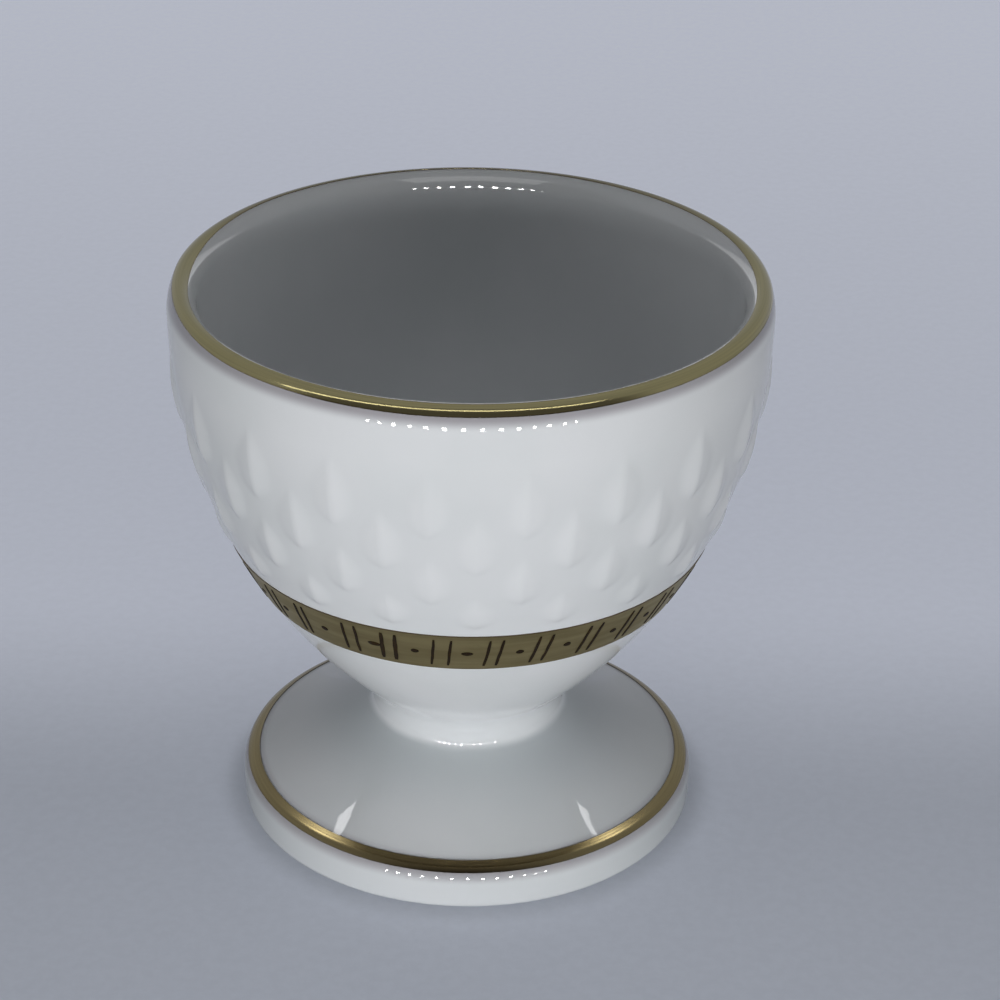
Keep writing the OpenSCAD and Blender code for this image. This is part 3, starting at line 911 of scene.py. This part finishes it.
# camera: fitted to the ellipses of lip, band and foot in the photograph
camera = {
    "lens": 101.66,
    "sensor": 36.0,
    "imageSize": 1000,
    "distance": 0.2440,
    "pitch": 28.11,
    "roll": 0.86,
    "aim": (0, 0, 0.025),
    "aimPixel": (469.3, 535.2),    # where that point lies in the picture
}
pitch, roll = radians(camera["pitch"]), radians(camera["roll"])
focal = camera["lens"] / camera["sensor"] * camera["imageSize"]
ahead = Vector((0, cos(pitch), -sin(pitch)))
above = Vector((0, sin(pitch), cos(pitch)))
sideways = Vector((1, 0, 0))
offX, offY = [(pixel - camera["imageSize"] / 2) / focal for pixel in camera["aimPixel"]]
shiftX = cos(roll) * offX + sin(roll) * offY
shiftY = -sin(roll) * offX + cos(roll) * offY
eye = Vector(camera["aim"]) - camera["distance"] * (ahead + shiftX * sideways - shiftY * above)
right = cos(roll) * sideways + sin(roll) * above
up = -sin(roll) * sideways + cos(roll) * above
cameraData = bpy.data.cameras.new("photoCamera")
cameraData.lens = camera["lens"]
cameraData.sensor_width = camera["sensor"]
cameraData.clip_start, cameraData.clip_end = 0.01, 20
photoCamera = bpy.data.objects.new("photoCamera", cameraData)
turned = Matrix((right, up, -ahead)).transposed().to_4x4()
photoCamera.matrix_world = Matrix.Translation(eye) @ turned
bpy.context.scene.collection.objects.link(photoCamera)
bpy.context.scene.camera = photoCamera

# light: boxes without glossy light the cup but don't show in its glaze, boxes without diffuse
# show there and nowhere else, and "only" names the pieces that a lamp is meant for
light = {
    "roomColour": (0.43, 0.45, 0.50),         # the room, seen by the camera and in reflections only
    "frontColour": (0.12, 0.12, 0.13),        # its dark side, behind the camera
    "frontRange": (-0.6, -0.25),              # along Y, from the dark side to the rest
    "boxes": {
        "frontBox": {
            "at": (0, -0.36, 0.024), "look": (0, 0, 0.024), "size": (0.5, 0.046), "watts": 0.90,
            "glossy": False,
        },
        "lipBox": {
            "at": (0, -0.36, 0.066), "look": (0, 0, 0.046), "size": (0.5, 0.03), "watts": 0.20,
            "glossy": False,
        },
        "mouthBox": {
            "at": (0, -0.004, 0.070), "look": (0, 0, 0.04), "size": (0.036, 0.03), "watts": 0.00056,
            "glossy": False, "only": (bowlPiece,),
        },
        "topBox": {
            "at": (0, 0, 0.7), "look": (0, 0, 0), "size": (0.7, 0.7), "watts": 0.52,
            "glossy": False,
        },
        "backBox": {
            "at": (0, 0.8, 0.12), "look": (0, 0, 0.03), "size": (1.2, 0.22), "watts": 1.7,
            "glossy": False,
        },
        "leftBox": {
            "at": (-0.7, 0, 0.20), "look": (0, 0, 0.02), "size": (0.5, 0.26), "watts": 0.43,
            "glossy": False,
        },
        "rightBox": {
            "at": (0.7, 0, 0.20), "look": (0, 0, 0.02), "size": (0.5, 0.26), "watts": 0.47,
            "glossy": False,
        },
        "leftPane": {                         # two windows, as bright patches on the foot
            "at": (-0.292, 0.235, 0.6), "look": (-0.292, 0.235, 0), "size": (0.045, 0.055),
            "watts": 0.045, "diffuse": False, "only": (footPiece,),
        },
        "rightPane": {
            "at": (0.290, 0.230, 0.6), "look": (0.290, 0.230, 0), "size": (0.045, 0.055),
            "watts": 0.042, "diffuse": False, "only": (footPiece,),
        },
        "leftSheen": {                        # and on its gold
            "at": (-0.33, 0.25, 0.6), "look": (-0.33, 0.25, 0), "size": (0.10, 0.10), "watts": 0.25,
            "diffuse": False, "only": (footLinePiece,),
        },
        "rightSheen": {
            "at": (0.33, 0.25, 0.6), "look": (0.33, 0.25, 0), "size": (0.10, 0.10), "watts": 0.25,
            "diffuse": False, "only": (footLinePiece,),
        },
        "rimStrip": {                         # the bright line along the front of the lip's gold
            "at": (-0.3, -0.36, 0.43), "look": (-0.3, 0, 0.049), "size": (1.5, 0.04), "watts": 1.15,
            "diffuse": False, "only": (rimPiece,),
        },
        "backWall": {                         # the lip's pale inner edge
            "at": (0, 0.8, 0.16), "look": (0, 0, 0.05), "size": (3.6, 0.30), "watts": 2.9,
            "diffuse": False, "only": (bowlPiece,),
        },
        "ceiling": {
            "at": (0, -0.35, 0.55), "look": (0, 0, 0.05), "size": (0.5, 0.3), "watts": 0.75,
            "diffuse": False, "only": (bowlPiece,),
        },
    },
    "rows": {                                 # rows of small lamps, as dots in the glaze
        "frontRow": {
            "count": 14, "at": (0.004, -0.145, 0.030), "look": (0, 0, 0.030), "spacing": 0.0152,
            "size": (0.0034, 0.013), "watts": 0.0065, "only": (bowlPiece,), "spread": 180,
        },
        "footRow": {
            "count": 13, "at": (0.003, -0.145, 0.030), "look": (0, 0, 0.020), "spacing": 0.0172,
            "size": (0.0034, 0.020), "watts": 0.022, "only": (footPiece,), "spread": 180,
        },
        "mouthRow": {
            "count": 14, "at": (0.0, -0.025, 0.0555), "look": (0, 0.05, 0.0525), "spacing": 0.0037,
            "size": (0.0012, 0.005), "watts": 0.00035, "only": (bowlPiece,), "spread": 60,
        },
    },
}

world = bpy.data.worlds.new("studioWorld")
world.use_nodes = True
sky = world.node_tree
background = [n for n in sky.nodes if n.type == "BACKGROUND"][0]
skyWay = newNode(sky, "ShaderNodeSeparateXYZ")
sky.links.new(sky.nodes.new("ShaderNodeTexCoord").outputs["Generated"], skyWay.inputs[0])
skyMix = rangeNode(sky, skyWay.outputs[1], *light["frontRange"])
skyColour = mixColour(sky, skyMix, light["frontColour"], light["roomColour"])
sky.links.new(skyColour, background.inputs["Color"])
sky.links.new(seenRays(sky), background.inputs["Strength"])
bpy.context.scene.world = world


def softBox(name, at, look, size, watts, glossy=True, diffuse=True, only=(), spread=180):
    data = bpy.data.lights.new(name, "AREA")
    data.shape = "RECTANGLE"
    data.size, data.size_y = size
    data.energy = watts
    data.spread = radians(spread)
    lamp = bpy.data.objects.new(name, data)
    lamp.location = at
    lamp.rotation_mode = "QUATERNION"
    lamp.rotation_quaternion = (Vector(look) - Vector(at)).to_track_quat("-Z", "Y")
    lamp.visible_camera = False
    lamp.visible_glossy = glossy
    lamp.visible_diffuse = diffuse
    bpy.context.scene.collection.objects.link(lamp)
    if only:
        lit = bpy.data.collections.new(f"{name}Lit")
        for piece in only:
            lit.objects.link(piece)
        lamp.light_linking.receiver_collection = lit


for name, box in light["boxes"].items():
    softBox(name, **box)
for name, row in light["rows"].items():
    for k in range(row["count"]):
        x, y, z = row["at"]
        x += (k - (row["count"] - 1) / 2) * row["spacing"]
        softBox(f"{name}{k}", (x, y, z), (x, *row["look"][1:]), row["size"], row["watts"],
                diffuse=False, only=row["only"], spread=row["spread"])

bpy.context.scene.view_settings.view_transform = "Standard"
print("egg cup: stage, camera and light ready")

print("egg cup: done")
